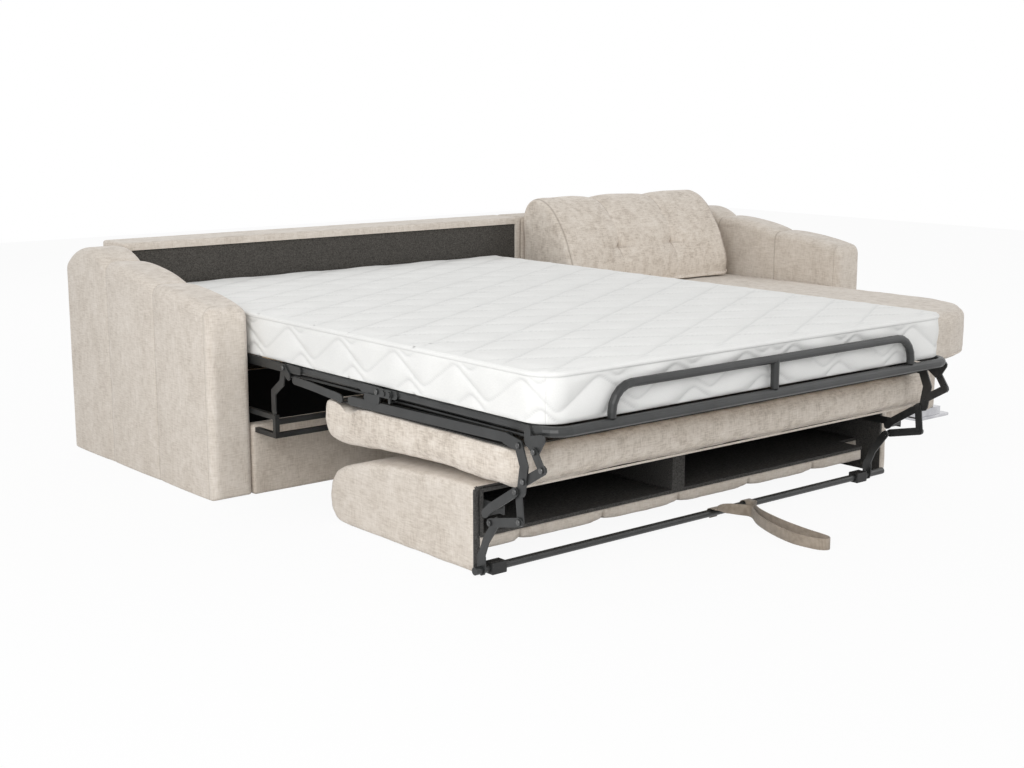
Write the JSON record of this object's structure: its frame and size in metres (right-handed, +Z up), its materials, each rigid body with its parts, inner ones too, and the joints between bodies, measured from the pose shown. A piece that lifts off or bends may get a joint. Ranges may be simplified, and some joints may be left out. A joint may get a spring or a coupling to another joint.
{
  "type": "sleeper sofa",
  "caption": "Corner sofa with a chaise at its right, shown with its folding bed pulled out and the backrest folded under the bed.",
  "frame": {"origin": "middle of the footprint with the bed pulled out, on the floor", "axes": "+Z up, +Y towards the back of the sofa, +X to the right of a person who faces it"},
  "size_m": [2.86, 2.3262, 0.74],
  "materials": {
    "upholstery": "soft textured weave",
    "upholstery_base": "soft textured weave in shade",
    "lining": "felt",
    "dark_lining": "non-woven cloth",
    "frame_steel": "satin powder coat",
    "chrome": "polished",
    "rubber": "matte",
    "mattress_cover": "quilted knit",
    "slats": "lacquered",
    "webbing": "woven strap"
  },
  "bodies": {
    "sofa_base": {"left_arm": "upholstery", "right_arm": "upholstery", "back_panel": "upholstery", "back_lining": "lining", "base_front_panel": "upholstery_base", "chaise_base": "upholstery_base", "chaise_seat": "upholstery", "chaise_back_frame": "upholstery_base", "chaise_back_cushion": "upholstery", "chaise_skid_foot": "chrome", "chaise_runner_left": "rubber", "chaise_runner_right": "rubber", "mount_bracket": "frame_steel", "swing_leg_left": "frame_steel", "swing_leg_right": "frame_steel", "head_rail_left": "frame_steel", "head_rail_right": "frame_steel", "head_slats": "slats", "mattress_head": "mattress_cover", "mattress_fold_head": "mattress_cover"},
    "mid_section": {"mid_rail_left": "frame_steel", "mid_rail_right": "frame_steel", "mid_rod_left": "frame_steel", "mid_rod_right": "frame_steel", "mid_slats": "slats", "mattress_mid": "mattress_cover", "mattress_fold_foot": "mattress_cover"},
    "foot_section": {"foot_frame": "frame_steel", "foot_slats": "slats", "foot_rod_left": "frame_steel", "foot_rod_right": "frame_steel", "retainer_rail": "frame_steel", "mattress_foot": "mattress_cover", "hinge_plate_left": "frame_steel", "hinge_plate_right": "frame_steel", "seat_bar_left": "frame_steel", "seat_bar_right": "frame_steel", "seat_cushion": "upholstery", "seat_liner": "dark_lining", "control_arm_left": "frame_steel", "control_arm_right": "frame_steel", "side_plate_left": "frame_steel", "side_plate_right": "frame_steel", "scissor_link_left": "frame_steel", "scissor_link_right": "frame_steel"},
    "backrest": {"backrest_shell": "upholstery", "backrest_lining": "dark_lining", "backrest_arm_left": "frame_steel", "backrest_arm_right": "frame_steel", "vertical_link_left": "frame_steel", "vertical_link_right": "frame_steel"},
    "support_leg": {"leg_link_left": "frame_steel", "leg_link_right": "frame_steel", "leg_plate_left": "frame_steel", "leg_plate_right": "frame_steel", "foot_bar": "frame_steel", "foot_pad_left": "rubber", "foot_pad_right": "rubber", "pull_strap": "webbing"}
  },
  "joints": [
    {"name": "bed_fold", "type": "hinge", "parent": "sofa_base", "child": "mid_section", "pos_m": [-0.5325, 0.07712, 0.392], "axis": [-1, 0, 0], "range_deg": [0, 90], "deforming": ["mattress_fold_head"]},
    {"name": "foot_fold", "type": "hinge", "parent": "mid_section", "child": "foot_section", "pos_m": [-0.5325, -0.37188, 0.392], "axis": [-1, 0, 0], "range_deg": [0, 90], "deforming": ["mattress_fold_foot"]},
    {"name": "backrest_fold", "type": "hinge", "parent": "foot_section", "child": "backrest", "pos_m": [-0.5325, -0.92388, 0.243], "axis": [-1, 0, 0], "range_deg": [0, 90]},
    {"name": "leg_fold", "type": "hinge", "parent": "backrest", "child": "support_leg", "pos_m": [-0.5325, -0.93188, 0.172], "axis": [-1, 0, 0], "range_deg": [0, 45], "deforming": ["pull_strap"]}
  ],
  "couplings": [
    {"joint": "foot_fold", "follows": "bed_fold", "ratio": 1},
    {"joint": "leg_fold", "follows": "bed_fold", "ratio": 0.5}
  ]
}
